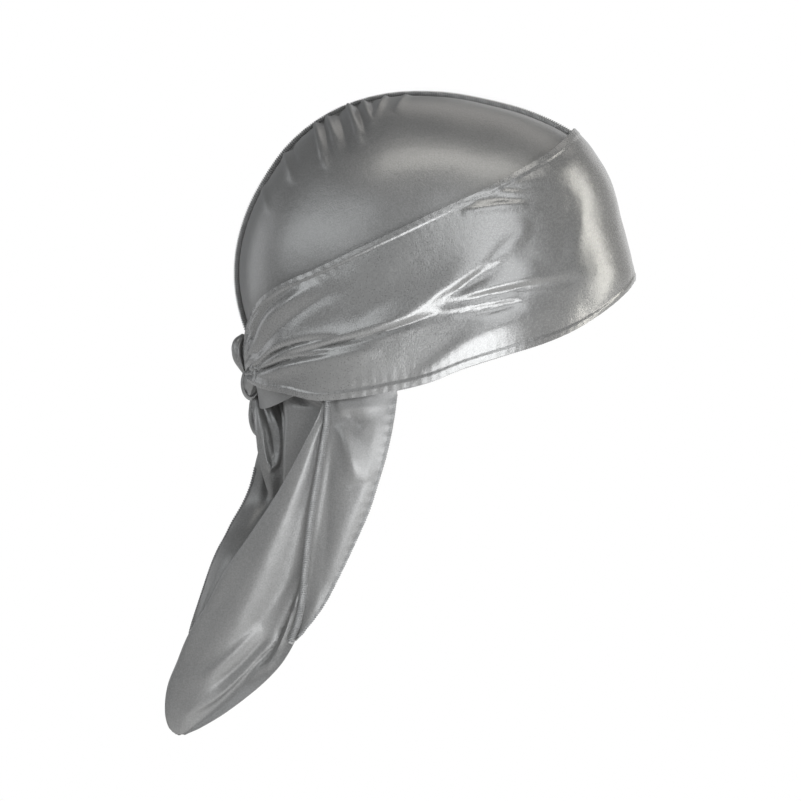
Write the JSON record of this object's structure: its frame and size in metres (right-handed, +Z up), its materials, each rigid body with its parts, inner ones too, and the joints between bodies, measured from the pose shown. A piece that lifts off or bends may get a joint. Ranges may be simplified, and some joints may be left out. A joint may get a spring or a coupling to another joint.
{
  "type": "durag",
  "caption": "Tied satin durag in its worn shape, with a seamed crown, a wide gathered band round the forehead, a knot at the nape, two tie ends and a long tail swung to one side.",
  "frame": {"origin": "inside face of the crown at the top of the head, on the centre seam", "axes": "+Z up, the forehead faces -Y, the wearer's right side is at -X"},
  "size_m": [0.1624, 0.2426, 0.333],
  "materials": {
    "crown_right": "grey satin weave, soft sheen",
    "crown_left": "grey satin weave, soft sheen",
    "crown_seam": "overlocked seam in matching thread",
    "tie_band": "grey satin weave with stitched hems",
    "tail_right": "grey satin weave with stitched hem",
    "tail_left": "grey satin weave with stitched hem",
    "tail_seam": "overlocked seam in matching thread",
    "knot": "gathered grey satin",
    "knot_loop_upper": "gathered grey satin",
    "knot_loop_lower": "gathered grey satin",
    "tie_end_near": "grey satin weave with stitched hem",
    "tie_end_far": "grey satin weave with stitched hem"
  },
  "bodies": {
    "root": {"crown_right": "crown_right", "crown_left": "crown_left", "crown_seam": "crown_seam", "tie_band": "tie_band", "tail_right": "tail_right", "tail_left": "tail_left", "tail_seam": "tail_seam", "knot": "knot", "knot_loop_upper": "knot_loop_upper", "knot_loop_lower": "knot_loop_lower", "tie_end_near": "tie_end_near", "tie_end_far": "tie_end_far"}
  },
  "joints": []
}
